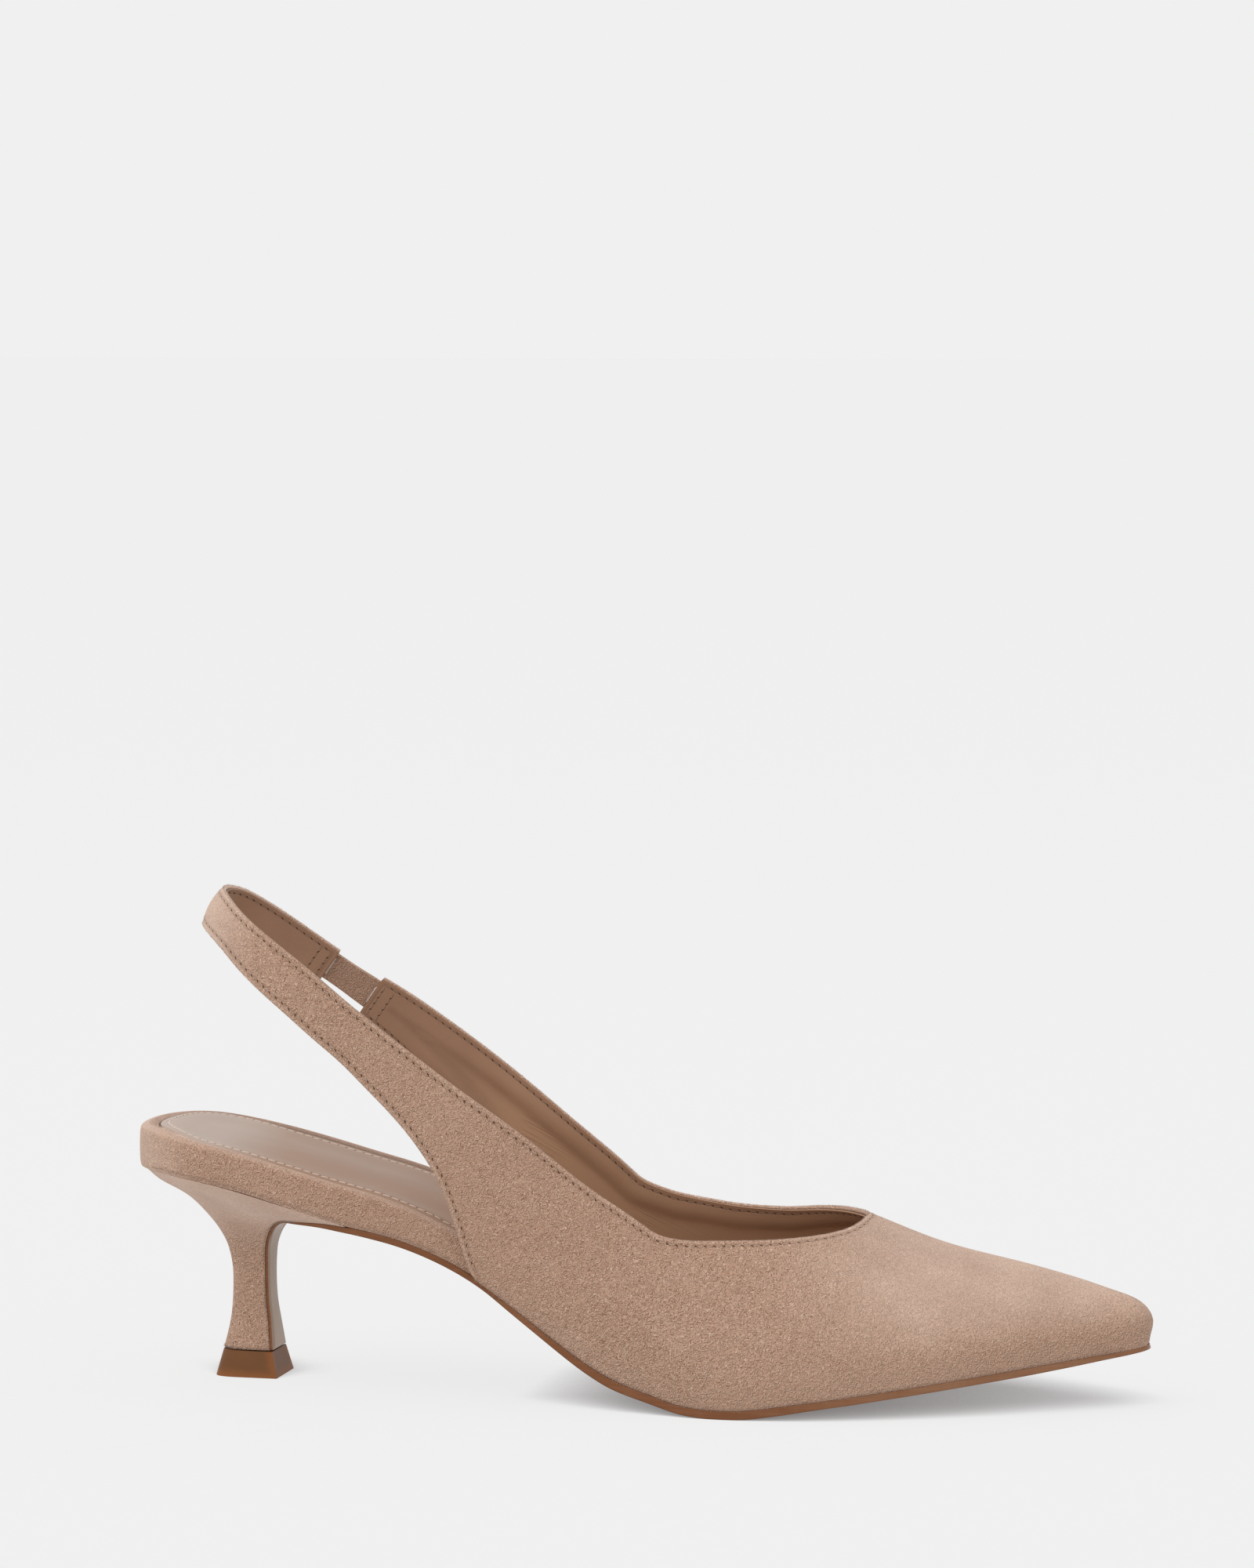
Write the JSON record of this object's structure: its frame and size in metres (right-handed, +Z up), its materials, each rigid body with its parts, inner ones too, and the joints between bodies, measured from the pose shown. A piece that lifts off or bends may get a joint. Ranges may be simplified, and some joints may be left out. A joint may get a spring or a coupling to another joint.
{
  "type": "heeled slingback shoe",
  "caption": "Pointed slingback pump for the right foot: suede upper with an elastic in the sling, thin sole, low flared heel with a top lift.",
  "frame": {"origin": "on the floor, under the middle of the shoe's bounding box", "axes": "+X from the heel to the toe, +Y towards the inner (medial) side of the foot, +Z up"},
  "size_m": [0.2608, 0.0762, 0.126],
  "materials": {
    "lift_rubber": "brown moulded top lift, semi-gloss",
    "heel_suede": "taupe suede cover, matte nap",
    "sole_leather": "tan satin sole",
    "footbed_suede": "taupe suede wrap, matte nap",
    "sock_leather": "smooth satin taupe sock",
    "suede": "taupe suede outside, smooth brown lining inside",
    "elastic_suede": "covered elastic, matte"
  },
  "bodies": {
    "root": {"top_lift": "lift_rubber", "heel": "heel_suede", "outsole": "sole_leather", "footbed": "footbed_suede", "insole": "sock_leather", "upper": "suede", "elastic": "elastic_suede"}
  },
  "joints": []
}
